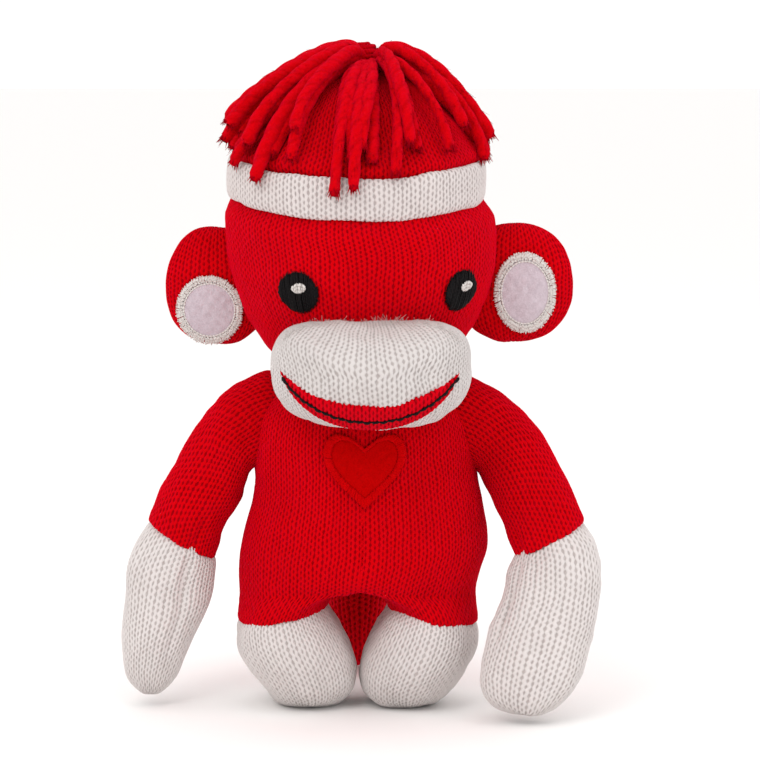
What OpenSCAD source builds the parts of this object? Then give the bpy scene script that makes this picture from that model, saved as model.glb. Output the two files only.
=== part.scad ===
// Knitted stuffed monkey, standing, facing -Y.
// Origin: middle of the footprint, on the surface that the feet rest on. +Z is up.
// Each soft member is a knit skin over its own wadding, cut where the fabric folds.

/* [Fabric] */
// Thickness of the knit skins
knit_t = 1.2; // [0.8:0.1:1.5]
// Thickness of the felt and fleece patches
felt_t = 0.9; // [0.6:0.1:1.2]
// Clearance between members that move on each other
fold_gap = 0.4; // [0.3:0.1:0.6]

/* [Head] */
// Radius of the head, which is a round knit tube
head_rx = 39.7; // [38.5:0.1:40.5]
// Half height of the head and cap together
head_rz = 47.5; // [46:0.5:48]
// Height of the widest part of the head
head_z = 140; // [139:0.5:141]
// Height of the neck
neck_z = 98; // [97.5:0.1:98.5]

/* [Hat] */
// Lower edge of the cuff
cuff_z0 = 148.4; // [147:0.2:149]
// Width of the cuff band
cuff_w = 13; // [11:0.5:14]
// Thickness of the folded cuff
cuff_t = 2.5; // [2:0.1:3]
// Thickness of the yarn
yarn_d = 3.2; // [2.6:0.1:3.2]
// Strands in each of the three layers
yarn_n = 14; // [10:1:14]

/* [Face] */
// Half width of the muzzle
muzzle_rx = 29; // [28:0.5:30]
// Half depth of the muzzle
muzzle_ry = 26.5; // [25:0.5:27]
// Half height of the muzzle
muzzle_rz = 16.8; // [16:0.2:17.4]
// Radius of an eye
eye_r = 6.1; // [5:0.1:6.5]
// Thickness of the smile's thread
smile_t = 0.9; // [0.6:0.1:1.2]

/* [Ears] */
// Reach of an ear from the head
ear_reach = 20; // [18:0.5:21]
// Half height of an ear
ear_h = 17.5; // [16:0.5:18]
// Half thickness of an ear
ear_t = 6.5; // [5:0.5:7]

// Half width of the fleece patch in an ear
patch_r = 6; // [5:0.2:7]
// Width of the stitched border round the patch
patch_border = 2; // [1.4:0.1:2.4]

/* [Torso] */
// Half width at the hips
hip_rx = 36.6; // [36:0.1:37]
// Depth of the torso as a part of its width
torso_flat = 0.7; // [0.68:0.01:0.74]
// Width of the heart
heart_w = 23.5; // [20:0.5:25]

/* [Limbs] */
// Height of the hip fold
hip_z = 30; // [29:0.5:31]
// Radius of the leg at the hip fold
leg_r = 19; // [18:0.5:19]
// Height of the hem between torso and foot
hem_z = 27; // [26:0.5:28]
// Height of the shoulder
shoulder_z = 82; // [81:0.5:83]
// Radius of the tail
tail_r = 7.4; // [6.5:0.1:7.5]

/* [Hidden] */

red = [0.75, 0.01, 0.03];
dark_red = [0.70, 0.01, 0.01];
white = [0.85, 0.83, 0.82];
black = [0.05, 0.03, 0.05];
wadding_white = [0.93, 0.93, 0.92];
skin = 0.05;                            // gap between a patch and the knit under it
thread_t = 0.5;                         // height of a glint or a seam above what it is sewn on
border_t = felt_t + 0.4;                // height of a stitched border
cuff_rx = 35.6;                         // head under the cuff
cuff_seam_z = cuff_z0 + cuff_w / 2;
muzzle_r = [muzzle_rx, muzzle_ry, muzzle_rz];
muzzle_c = [2.6, -31, 101.8];           // the muzzle points a little to one side
nod_gap = 2.2;         // room under the head for it to nod
far = 200;             // longer than the object

// ---- profiles ------------------------------------------------------------

// Part of an ellipse as [radius, height] points, from angle a0 to a1.
function oval(rx, rz, zc, a0, a1, n) =
    [for (i = [0 : n]) let (a = a0 + (a1 - a0) * i / n) [rx * cos(a), zc + rz * sin(a)]];

function reversed(list) = [for (i = [len(list) - 1 : -1 : 0]) list[i]];

// Angle on the head's ellipse at height z.
function head_angle(z, o) = asin(min(1, (z - head_z) / (head_rz + o)));

function head_line(o, z0, z1, n) =
    oval(head_rx + o, head_rz + o, head_z, head_angle(z0, o), head_angle(z1, o), n);

// Outline of the torso from the hips to the neck, grown by o.
function torso_line(o) = [
    [hip_rx - 0.4 + o, hem_z], [hip_rx + 0.2 + o, 35], [hip_rx + o, 45],
    [35.4 + o, 55], [33.8 + o, 61], [33.0 + o, 67], [32.9 + o, 76], [32 + o, 84],
    [29.5 + o, 89.5], [24.5 + o, 93.8 + o / 2], [17 + o, 96.4 + o], [8, 97.4 + o], [0, 97.6 + o]];

module lathe(points) {
    rotate_extrude($fn = 96) polygon(points);
}

module flat_lathe(points) {
    scale([1, torso_flat, 1]) rotate_extrude($fn = 60) polygon(points);
}

module head_form(o) {
    lathe(concat([[0, neck_z - o]], head_line(o, neck_z, head_z + head_rz + o, 60)));
}

module torso_form(o) {
    flat_lathe(concat([[0, 33 - o]], torso_line(o)));
}

module ellipsoid(r) {
    scale(r) sphere(r = 1, $fn = 64);
}

// ---- swept skins -----------------------------------------------------------

// A ring is [centre, tilt, half width, half depth]. Tilt 0 has its width along Z, 90 along X.
sides = 20;

function ring_points(ring, side, grow) = [
    for (i = [0 : sides - 1])
        let (a = 360 * i / sides, w = (ring[2] + grow) * cos(a), d = (ring[3] + grow) * sin(a))
            ring[0] + [-side * w * sin(ring[1]), d, -w * cos(ring[1])]];

// Walls between ring k and ring k + 1 of a stack; a loop also joins the last ring to the first.
function wall_faces(count, loop) = [
    for (k = [0 : count - (loop ? 1 : 2)]) for (i = [0 : sides - 1])
        let (a = k * sides, b = ((k + 1) % count) * sides, j = (i + 1) % sides)
            [a + i, a + j, b + j, b + i]];

// One closed surface through a stack of rings: capped at both ends, or joined into a loop.
module stacked(stack, loop, flip) {
    count = len(stack);
    last = (count - 1) * sides;
    caps = loop ? [] : [[for (i = [sides - 1 : -1 : 0]) i], [for (i = [0 : sides - 1]) last + i]];
    faces = concat(wall_faces(count, loop), caps);
    polyhedron([for (r = stack) each r], flip ? [for (f = faces) reversed(f)] : faces, convexity = 6);
}

module swept(rings, side, grow) {
    stacked([for (r = rings) ring_points(r, side, grow)], false, side < 0);
}

// ---- torso -------------------------------------------------------------------

// The space the legs swing in: a round fold along X and a wedge that opens downwards.
swing_front = 37;       // how far the wedge opens in front and behind
swing_back = 23;
hip_y = -1;

module hip_space(grow) {
    translate([-far / 2, hip_y, hip_z]) rotate([90, 0, 90]) {
        cylinder(r = leg_r + grow, h = far, $fn = 96);
        linear_extrude(height = far)
            polygon([[0, 0], [-far, far * tan(swing_front)], [-far, -far], [far, -far],
                     [far, far * tan(swing_back)]]);
    }
}

module torso_knit() {
    color(red) difference() {
        torso_form(0);
        flat_lathe(concat([[0, 30]], [for (p = torso_line(-knit_t)) [max(p[0], 0), p[1] - 1]]));
        hip_space(fold_gap);
    }
}

module torso_wadding() {
    color(wadding_white) difference() {
        flat_lathe(concat([[0, 30]], [for (p = torso_line(-knit_t - 0.1)) [max(p[0], 0), p[1] - 1.1]]));
        hip_space(fold_gap + 0.6);
    }
}

heart_at = [0.6, 0, 72];
heart_rim = 2.5;        // width of the stitched border

// Two lobes, each drawn out to the point. All sizes are shares of the width.
module heart_shape(w) {
    for (side = [-1, 1]) hull() {
        translate([side * w * 0.23, w * 0.18]) circle(r = w * 0.27, $fn = 48);
        translate([0, -w * 0.42]) circle(r = w * 0.04, $fn = 24);
    }
}

module on_chest(t) {
    intersection() {
        difference() {
            torso_form(t);
            torso_form(skin);
        }
        translate(heart_at) rotate([90, 0, 0]) linear_extrude(height = far) children();
    }
}

module heart_felt() {
    color(dark_red) on_chest(felt_t) heart_shape(heart_w - 2 * heart_rim - 0.2);
}

module heart_border() {
    color(red) on_chest(border_t) difference() {
        heart_shape(heart_w);
        heart_shape(heart_w - 2 * heart_rim);
    }
}

// ---- head and hat --------------------------------------------------------------

neck_seam_z = 98.05;    // between the top of the torso and the head

module neck_seam() {
    color(red) rotate_extrude($fn = 72) translate([9, neck_seam_z]) square([4, thread_t], center = true);
}

module head_knit() {
    line = concat(head_line(0, neck_z + nod_gap, cuff_z0 - 0.6, 16),
        [[cuff_rx, cuff_z0 + 0.2], [cuff_rx, cuff_seam_z - 0.1]]);
    inner = concat(head_line(-knit_t, neck_z + nod_gap, cuff_z0 - 1.4, 14),
        [[cuff_rx - knit_t, cuff_z0 + 0.4], [cuff_rx - knit_t, cuff_seam_z - 0.1]]);
    color(red) lathe(concat(line, reversed(inner)));
}

module head_wadding() {
    g = knit_t + 0.1;
    line = concat([[0, neck_z + nod_gap]], head_line(-g, neck_z + nod_gap, cuff_z0 - 1.5, 14),
        [[cuff_rx - g, cuff_z0 + 0.5], [cuff_rx - g, cuff_z0 + cuff_w]],
        head_line(-g - 0.2, cuff_z0 + cuff_w + 0.6, head_z + head_rz - g - 0.2, 10));
    color(wadding_white) lathe(line);
}

module hat_cap() {
    top_z = cuff_z0 + cuff_w;
    line = concat([[cuff_rx, cuff_seam_z + 0.1], [cuff_rx, top_z]],
        head_line(0, top_z + 0.6, head_z + head_rz, 12));
    inner = concat([[cuff_rx - knit_t, cuff_seam_z + 0.1], [cuff_rx - knit_t, top_z + 0.1]],
        head_line(-knit_t, top_z + 0.8, head_z + head_rz - knit_t, 12));
    color(red) lathe(concat(line, reversed(inner)));
}

module hat_cuff() {
    color(white) rotate_extrude($fn = 96)
        translate([cuff_rx + skin + cuff_t / 2, cuff_z0 + cuff_w / 2]) {
            square([cuff_t, cuff_w - cuff_t], center = true);
            translate([0, cuff_w / 2 - cuff_t / 2]) circle(d = cuff_t, $fn = 24);
            translate([0, -cuff_w / 2 + cuff_t / 2]) circle(d = cuff_t, $fn = 24);
        }
}

// ---- pompom --------------------------------------------------------------------

strand_sides = 6;
strand_rings = 8;
strand_root = 8;                        // from the middle of the crown to a strand's root
layers = [[0, 60], [1, 64], [2, 54]];   // [layer, angle from the crown at which its strands end]

// Height of a layer of strands above the cap.
function layer_height(layer) = 2.1 + layer * 3.7;

function strand_centre(azimuth, layer, polar) =
    let (o = layer_height(layer))
        [(head_rx + o) * sin(polar) * cos(azimuth),
         (head_rx + o) * sin(polar) * sin(azimuth),
         head_z + (head_rz + o) * cos(polar)];

function polar_start(layer) = asin(strand_root / (head_rx + layer_height(layer)));

module strand(azimuth, layer, polar_end) {
    start = polar_start(layer);
    points = [for (k = [0 : strand_rings - 1])
        let (p = start + (polar_end - start) * k / (strand_rings - 1),
             c = strand_centre(azimuth, layer, p))
            for (i = [0 : strand_sides - 1])
                let (a = 360 * i / strand_sides, r = yarn_d / 2)
                    c + r * cos(a) * [-sin(azimuth), cos(azimuth), 0]
                      + r * sin(a) * [sin(p) * cos(azimuth), sin(p) * sin(azimuth), cos(p)]];
    last = (strand_rings - 1) * strand_sides;
    faces = concat(
        [for (k = [0 : strand_rings - 2]) for (i = [0 : strand_sides - 1])
            let (a = k * strand_sides + i, b = k * strand_sides + (i + 1) % strand_sides)
                [a, a + strand_sides, b + strand_sides, b]],
        [[for (i = [0 : strand_sides - 1]) i]],
        [[for (i = [strand_sides - 1 : -1 : 0]) last + i]]);
    polyhedron(points, faces, convexity = 4);
}

module pompom_strands() {
    color(red) for (layer = layers) for (i = [0 : yarn_n - 1])
        strand((i + layer[0] / 3) * 360 / yarn_n, layer[0],
               layer[1] + 4 * sin(i * 137 + layer[0] * 50));
}

tie_r = [5.8, 5.8, 4.5];

module pompom_tie() {
    color(red) translate([0, 0, head_z + head_rz + tie_r[2] + 0.4]) ellipsoid(tie_r);
}

// ---- face ----------------------------------------------------------------------

module muzzle_form(o) {
    translate(muzzle_c) ellipsoid(muzzle_r + [o, o, o]);
}

// The muzzle keeps clear of the head, and of the chest when the head nods and turns.
muzzle_back = -14;
chin_back = [muzzle_back, 100];
chin_front = [-33, 85.5];
chin_floor = 60;

module muzzle_space() {
    head_form(0.3);
    translate([-far / 2, muzzle_back, 0]) cube([far, far, far]);
    translate([-far / 2, 0, 0]) rotate([90, 0, 90]) linear_extrude(height = far)
        polygon([chin_back, chin_front, [chin_front[0], chin_floor], [0, chin_floor], [0, chin_back[1]]]);
}

module muzzle_knit() {
    color(white) difference() {
        muzzle_form(0);
        muzzle_form(-knit_t);
        muzzle_space();
    }
}

module muzzle_wadding() {
    color(wadding_white) difference() {
        muzzle_form(-knit_t - 0.1);
        muzzle_space();
    }
}

// Lips: a crescent between two arcs. Each arc is [middle x, lowest z, radius].
lip_top = [2.2, 94.3, 40.3];
lip_bottom = [2.2, 86.8, 27.3];
smile = [2.2, 90.2, 30.8];

module arc_disc(arc, grow) {
    translate([arc[0], arc[1] + arc[2]]) circle(r = arc[2] + grow, $fn = 96);
}

module on_muzzle(inner, outer) {
    intersection() {
        difference() {
            muzzle_form(outer);
            muzzle_form(inner);
        }
        translate([0, muzzle_c[1], 0]) rotate([90, 0, 0]) linear_extrude(height = far) children();
    }
}

module lip_patch() {
    color(red) on_muzzle(skin, felt_t) difference() {
        arc_disc(lip_bottom, 0);
        arc_disc(lip_top, 0);
    }
}

module smile_stitch() {
    color(black) on_muzzle(felt_t + skin, felt_t + smile_t) intersection() {
        difference() {
            arc_disc(smile, smile_t / 2);
            arc_disc(smile, -smile_t / 2);
        }
        difference() {
            arc_disc(lip_bottom, -0.3);
            arc_disc(lip_top, 0.3);
        }
    }
}

// Eyes are embroidered on the head: [azimuth from the front, height].
eye_right_at = [-28.6, 124.5];
eye_left_at = [48, 124.5];
glint_at = [0.9, 1.6];
glint_r = 1.9;

module on_face(at, inner, outer, dx, dz) {
    intersection() {
        difference() {
            head_form(outer);
            head_form(inner);
        }
        rotate([0, 0, at[0]]) translate([dx, 0, at[1] + dz]) rotate([90, 0, 0])
            linear_extrude(height = far) children();
    }
}

module eye(at) {
    color(black) on_face(at, skin, felt_t, 0, 0) circle(r = eye_r, $fn = 64);
}

// A small flat patch of thread that lies along the head's surface, just off the eye.
module glint(at) {
    rx = head_rx + felt_t;
    rz = head_rz + felt_t;
    a = head_angle(at[1] + glint_at[1], felt_t);
    lean = atan2(sin(a) / rz, cos(a) / rx);
    color(white) rotate([0, 0, at[0]]) translate([glint_at[0], -rx * cos(a), head_z + rz * sin(a)])
        rotate([90 - lean, 0, 0]) translate([0, 0, 2 * skin])
            linear_extrude(height = thread_t) scale([1, 0.7]) circle(r = glint_r, $fn = 48);
}

// ---- ears ----------------------------------------------------------------------

ear_root = [38.6, 2, 124];
ear_lean = 18;
patch_at = [10, 0, -1];
patch_tall = 1.3;       // height of the patch over its width

// Local X points out from the head, Z along the fold at the head.
module ear_at(side) {
    mirror([side < 0 ? 1 : 0, 0, 0]) translate(ear_root) rotate([0, ear_lean, 0]) children();
}

ear_mid = 3.5;          // from the fold to the middle of the ear's oval

module ear_oval(o) {
    translate([ear_mid, 0, 0]) scale([ear_reach - ear_mid + o, ear_t + o, ear_h + o])
        sphere(r = 1, $fn = 36);
}

// The root is a wedge, which leaves room for the ear to fold both ways.
wedge_tip = 0.5;
wedge_end = 4.5;
wedge_half = 9;

module ear_wedge(o) {
    translate([0, 0, -far / 2]) linear_extrude(height = far)
        polygon([[wedge_tip - o, 0], [wedge_end - o, -wedge_half], [far, -wedge_half],
                 [far, wedge_half], [wedge_end - o, wedge_half]]);
}

module ear_layer(o) {
    translate([ear_mid, 0, 0]) ellipsoid([ear_reach - ear_mid + o, ear_t + o, ear_h + o]);
}

module on_ear(outer) {
    intersection() {
        difference() {
            ear_layer(outer);
            ear_layer(skin);
        }
        translate(patch_at) rotate([90, 0, 0]) linear_extrude(height = far)
            scale([1, patch_tall]) children();
    }
}

module ear_knit(side) {
    color(red) ear_at(side) difference() {
        intersection() {
            ear_oval(0);
            ear_wedge(0);
        }
        ear_oval(-knit_t);
    }
}

module ear_wadding(side) {
    color(wadding_white) ear_at(side) intersection() {
        ear_oval(-knit_t - 0.1);
        ear_wedge(-0.5);
    }
}

module ear_patch(side) {
    color(white) ear_at(side) on_ear(felt_t) circle(r = patch_r - 0.1, $fn = 64);
}

module ear_border(side) {
    color(white) ear_at(side) on_ear(border_t) difference() {
        circle(r = patch_r + patch_border, $fn = 64);
        circle(r = patch_r, $fn = 64);
    }
}

// ---- arms ----------------------------------------------------------------------

// Rings from the shoulder to the fingertips. The right arm hangs, the left one reaches forward.
root_x = 33.9;
sleeve_right = [
    [[-root_x, 0, shoulder_z], 0, 12.6, 10], [[-38.3, 0, 79.5], 18, 12.4, 10.6],
    [[-43.4, 0, 69.9], 35, 12.3, 10.8], [[-49, -1, 60.5], 48, 11.4, 10.6],
    [[-53.3, -2, 49.8], 60, 10.8, 10]];
hand_right = [
    [[-53.6, -2.1, 49.3], 60, 11.2, 10], [[-56.8, -3, 39.8], 80, 12.6, 10.2],
    [[-58.4, -4, 30], 88, 12.3, 10], [[-60.6, -5, 20], 90, 10.4, 9.5],
    [[-62.4, -6, 11], 90, 8, 7.6], [[-62.8, -6.5, 5.6], 90, 4.6, 4.4],
    [[-62.8, -6.6, 3.6], 90, 1.4, 1.3]];
sleeve_left = [
    [[root_x, 0, shoulder_z], 0, 12.6, 10], [[38.5, -1, 79.8], 18, 12.2, 10.6],
    [[44.6, -5, 71.5], 38, 11.8, 10.8], [[49.6, -10, 62], 52, 11.2, 10.6],
    [[54, -14.5, 52], 62, 11, 10]];
hand_left = [
    [[54.3, -15, 51.5], 62, 11.8, 10.2], [[55.4, -18, 46], 75, 13.2, 10.4],
    [[55, -22, 37], 88, 14, 10.4], [[52, -26, 26.3], 90, 14.8, 10],
    [[49.4, -29, 16.6], 90, 14.9, 9.4], [[47.6, -31, 9.4], 90, 12.8, 8],
    [[46.7, -32, 4.6], 90, 8.4, 5.6], [[46.6, -32.2, 2.4], 90, 3, 2]];

// A sleeve is open at both ends.
module sleeve(rings, side) {
    outer = [for (r = rings) ring_points(r, side, 0)];
    inner = [for (r = rings) ring_points(r, side, -knit_t)];
    color(red) stacked(concat(outer, reversed(inner)), true, side < 0);
}

// A hand is open at the wrist and closed at the fingertips.
function drawn_in(rings) = [
    for (i = [0 : len(rings) - 2])
        rings[i] + [i < len(rings) - 2 ? [0, 0, 0] : [0, 0, 1], 0, 0, 0]];

module hand(rings, side) {
    outer = [for (r = rings) ring_points(r, side, 0)];
    inner = [for (r = drawn_in(rings)) ring_points(r, side, -knit_t)];
    color(white) stacked(concat(reversed(outer), inner), false, side > 0);
}

module arm_wadding(sleeve_rings, hand_rings, side) {
    color(wadding_white) {
        swept(sleeve_rings, side, -knit_t - 0.2);
        swept(drawn_in(hand_rings), side, -knit_t - 0.3);
    }
}

// The seam ring lies between the torso and the end of the sleeve.
arm_seam_x = 33.42;

module arm_seam(side) {
    color(red) translate([side * arm_seam_x, 0, shoulder_z]) rotate([0, 90, 0])
        rotate_extrude($fn = 72) translate([8, 0]) square([3, thread_t], center = true);
}

// ---- legs ----------------------------------------------------------------------

// A leg is the hull of three ellipsoids, each given by its centre and its half sizes.
hip_part = [[18.2, hip_y, hip_z], [16.8, leg_r, leg_r]];
heel_part = [[18.9, hip_y, 17], [18.2, leg_r, 18.2]];
toe_part = [[18.9, -7, 16.4], [16.5, 18, 17.4]];

module leg_form(side, o) {
    mirror([side < 0 ? 1 : 0, 0, 0]) hull() for (part = [hip_part, heel_part, toe_part])
        translate(part[0]) scale(part[1] + [o, o, o]) sphere(r = 1, $fn = 32);
}

module slab(z0, z1) {
    translate([-far / 2, -far / 2, z0]) cube([far, far, z1 - z0]);
}

module leg_knit(side) {
    color(red) intersection() {
        difference() {
            leg_form(side, 0);
            leg_form(side, -knit_t);
        }
        slab(hem_z + 0.05, far);
    }
}

module leg_foot(side) {
    color(white) intersection() {
        difference() {
            leg_form(side, 0);
            intersection() {
                leg_form(side, -knit_t);
                slab(knit_t, far);
            }
        }
        slab(0, hem_z - 0.05);
    }
}

module leg_wadding(side) {
    color(wadding_white) intersection() {
        leg_form(side, -knit_t - 0.1);
        slab(knit_t + 0.1, far);
    }
}

// ---- tail ----------------------------------------------------------------------

// [y, z, radius, tilt] of the rings along the tail, from its root to its tip.
tail_rings = [[33.4, 46, 5.4, 0], [33.9, 42, 7.2, 6], [35, 36, 7.4, 12], [36.6, 28, 7.3, 14],
              [38.6, 20, 7.2, 24], [42, 12.6, 7.2, 44], [47.2, 8.1, 7, 72], [52.6, 7.3, 6.2, 88],
              [56.4, 7, 4, 90], [57.8, 7, 1.6, 90]];

function tail_points(t, o) = [
    for (i = [0 : sides - 1]) let (a = 360 * i / sides, r = (t[2] + o) * tail_r / 7.4)
        [r * cos(a), t[0] + r * sin(a) * cos(t[3]), t[1] + r * sin(a) * sin(t[3])]];

// The tail's skin is open at its root, where it is sewn to the back.
module tail_knit() {
    outer = [for (t = tail_rings) tail_points(t, 0)];
    inner = [for (i = [0 : len(tail_rings) - 2]) tail_points(tail_rings[i], -knit_t)];
    color(red) stacked(concat(reversed(outer), inner), false, false);
}

module tail_wadding() {
    inner = [for (i = [0 : len(tail_rings) - 2]) tail_points(tail_rings[i], -knit_t - 0.2)];
    color(wadding_white) stacked(inner, false, true);
}

// ---- assembly --------------------------------------------------------------------

torso_knit();
torso_wadding();
heart_felt();
heart_border();
neck_seam();
head_knit();
head_wadding();
hat_cap();
hat_cuff();
pompom_strands();
pompom_tie();
muzzle_knit();
muzzle_wadding();
lip_patch();
smile_stitch();
eye(eye_right_at);  // eye_right
eye(eye_left_at);  // eye_left
glint(eye_right_at);  // eye_glint_right
glint(eye_left_at);  // eye_glint_left
ear_knit(-1);  // ear_right_knit
ear_wadding(-1);  // ear_right_wadding
ear_patch(-1);  // ear_right_patch
ear_border(-1);  // ear_right_border
ear_knit(1);  // ear_left_knit
ear_wadding(1);  // ear_left_wadding
ear_patch(1);  // ear_left_patch
ear_border(1);  // ear_left_border
arm_seam(-1);  // arm_right_seam
sleeve(sleeve_right, -1);  // arm_right_sleeve
hand(hand_right, -1);  // arm_right_hand
arm_wadding(sleeve_right, hand_right, -1);  // arm_right_wadding
arm_seam(1);  // arm_left_seam
sleeve(sleeve_left, 1);  // arm_left_sleeve
hand(hand_left, 1);  // arm_left_hand
arm_wadding(sleeve_left, hand_left, 1);  // arm_left_wadding
leg_knit(-1);  // leg_right_knit
leg_foot(-1);  // leg_right_foot
leg_wadding(-1);  // leg_right_wadding
leg_knit(1);  // leg_left_knit
leg_foot(1);  // leg_left_foot
leg_wadding(1);  // leg_left_wadding
tail_knit();
tail_wadding();
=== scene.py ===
import math

import bpy
import numpy as np
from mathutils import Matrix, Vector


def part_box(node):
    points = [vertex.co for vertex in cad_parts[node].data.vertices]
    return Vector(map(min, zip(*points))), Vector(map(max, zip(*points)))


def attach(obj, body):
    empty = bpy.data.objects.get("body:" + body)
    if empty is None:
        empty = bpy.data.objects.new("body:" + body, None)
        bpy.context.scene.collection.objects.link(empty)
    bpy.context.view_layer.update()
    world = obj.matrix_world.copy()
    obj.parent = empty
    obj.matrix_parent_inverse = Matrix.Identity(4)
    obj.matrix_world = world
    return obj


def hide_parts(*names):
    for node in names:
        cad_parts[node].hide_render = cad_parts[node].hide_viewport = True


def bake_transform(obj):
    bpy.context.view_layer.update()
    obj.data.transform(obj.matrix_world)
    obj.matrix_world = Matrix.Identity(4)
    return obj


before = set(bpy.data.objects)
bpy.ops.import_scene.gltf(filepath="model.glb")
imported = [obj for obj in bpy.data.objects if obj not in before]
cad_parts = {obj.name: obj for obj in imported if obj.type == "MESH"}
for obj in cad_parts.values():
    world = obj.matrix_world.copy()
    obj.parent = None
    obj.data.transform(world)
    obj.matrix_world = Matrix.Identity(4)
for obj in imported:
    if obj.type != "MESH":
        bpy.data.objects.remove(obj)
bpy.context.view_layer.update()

MM = 0.001
TAU = 2 * math.pi

# ---- gauge of the knit, in millimetres
WALE = 2.67
COURSE = 1.83
WAVE = 0.13          # how far a leg of a stitch swings, in leg widths
OPEN = 0.035         # how much wider the holes inside a stitch are than those between wales
LEG = 0.43           # half width of a leg, in leg pitches
PER_WALE = 6         # mesh columns to one wale

SQUARE = 2.15        # power of a rounded outline: 2 is an ellipse, more is squarer
SIDES = ((-1, "right"), (1, "left"))

rng = np.random.default_rng(7)


def box_mm(node):
    """The lowest and highest corners of a CAD node, in millimetres."""
    low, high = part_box(node)
    return np.array(low) / MM, np.array(high) / MM


# ---- small maths
def smooth(a, b, x):
    """A soft step: 0 up to a and 1 from b on."""
    t = np.clip((x - a) / (b - a), 0, 1)
    return t * t * (3 - 2 * t)


def distance_along(points):
    """How far each point of a line is from its first point, measured along the line."""
    return np.concatenate([[0], np.cumsum(np.linalg.norm(np.diff(points, axis=0), axis=1))])


def normalised(vectors):
    """The vectors, each divided by its length."""
    return vectors / np.maximum(np.linalg.norm(vectors, axis=-1, keepdims=True), 1e-9)


def grid_coordinates(x, z):
    """x and z as arrays of one shape."""
    return np.broadcast_arrays(np.asarray(x, float), np.asarray(z, float))


def round_points(r, z, azimuth):
    """Points round the upright axis; azimuth 0 faces front and grows towards +X."""
    return np.stack([r * np.sin(azimuth), -r * np.cos(azimuth), z + 0 * azimuth], -1)


def wobble(p, scale, seed):
    """Smooth noise between about -1 and 1 at points p, with features about scale mm wide."""
    out = np.zeros(p.shape[:-1])
    local = np.random.default_rng(seed)
    for _ in range(7):
        direction = local.normal(size=3)
        direction *= TAU / scale / np.linalg.norm(direction) * local.uniform(0.6, 1.4)
        out += np.sin(p @ direction + local.uniform(0, TAU))
    return out / 3.5


def stitch_height(u, v):
    """Height of plain knit at wale u and course v: 0 in a hole, 1 along the yarn."""
    leg = 2 * u
    k = np.floor(leg)
    sign = np.where(np.mod(k, 2) < 0.5, 1.0, -1.0)
    middle = 0.5 + sign * (WAVE * np.cos(TAU * v) + OPEN)
    return np.sqrt(np.clip(1 - ((leg - k - middle) / LEG) ** 2, 0, 1))


def spline_rows(table, count):
    """Catmull-Rom through a table's rows, evenly spaced along its first three columns, and its length."""
    table = np.array(table, float)
    ends = np.vstack([2 * table[0] - table[1], table, 2 * table[-1] - table[-2]])
    t = np.linspace(0, len(table) - 1, 60 * len(table))
    i = np.minimum(t.astype(int), len(table) - 2)
    f = (t - i)[:, None]
    a, b, c, d = ends[i], ends[i + 1], ends[i + 2], ends[i + 3]
    rows = 0.5 * (2 * b + (c - a) * f + (2 * a - 5 * b + 4 * c - d) * f ** 2
                  + (3 * b - a - 3 * c + d) * f ** 3)
    length = distance_along(rows[:, :3])
    even = np.linspace(0, length[-1], count)
    return np.stack([np.interp(even, length, column) for column in rows.T], 1), length[-1]


def grid_normals(p, loop):
    """Unit normals of a grid of points, rows along axis 0 and columns along axis 1."""
    down = np.gradient(p, axis=0)
    if loop:
        wide = np.concatenate([p[:, -1:], p, p[:, :1]], axis=1)
        across = (wide[:, 2:] - wide[:, :-2]) / 2
    else:
        across = np.gradient(p, axis=1)
    return normalised(np.cross(across, down))


# ---- meshes
def mesh_object(name, verts, faces, uvs, material):
    """A smooth mesh from points in mm. uvs has one pair per face corner."""
    mesh = bpy.data.meshes.new(name)
    verts = np.asarray(verts, float).reshape(-1, 3) * MM
    faces = np.asarray(faces, np.int32)
    mesh.vertices.add(len(verts))
    mesh.vertices.foreach_set("co", verts.ravel())
    count, corners = faces.shape
    mesh.loops.add(count * corners)
    mesh.loops.foreach_set("vertex_index", faces.ravel())
    mesh.polygons.add(count)
    mesh.polygons.foreach_set("loop_start", np.arange(0, count * corners, corners, dtype=np.int32))
    mesh.polygons.foreach_set("use_smooth", np.ones(count, bool))
    mesh.update(calc_edges=True)
    layer = mesh.uv_layers.new(name="stitch")
    layer.data.foreach_set("uv", np.asarray(uvs, np.float32).ravel())
    mesh.validate()
    obj = bpy.data.objects.new(name, mesh)
    bpy.context.scene.collection.objects.link(obj)
    mesh.materials.append(material)
    return obj


def grid_faces(rows, cols, loop, uv):
    """Quads of a grid and their UVs. uv has one more column than the points when the grid is a loop."""
    last = cols if loop else cols - 1
    r, c = np.meshgrid(np.arange(rows - 1), np.arange(last), indexing="ij")
    n = (c + 1) % cols
    faces = np.stack([r * cols + c, r * cols + n, (r + 1) * cols + n, (r + 1) * cols + c], -1)
    uvs = np.stack([uv[r, c], uv[r, c + 1], uv[r + 1, c + 1], uv[r + 1, c]], -2)
    return faces.reshape(-1, 4), uvs.reshape(-1, 2)


def grid_object(name, points, uv, loop, material, flip):
    """A grid of points as a mesh; flip turns its faces round."""
    rows, cols = points.shape[:2]
    faces, uvs = grid_faces(rows, cols, loop, uv)
    uvs = uvs.reshape(-1, 4, 2)
    if flip:
        faces, uvs = faces[:, ::-1], uvs[:, ::-1]
    return mesh_object(name, points, faces, uvs, material)


def loop_uv(rows, cols, wales, courses):
    """UVs in stitches for a closed tube: u wraps at wales, v runs down the rows."""
    u = np.linspace(0, wales, cols + 1)
    v = np.linspace(0, courses, rows)
    return np.stack(np.meshgrid(u, v), -1)


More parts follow.
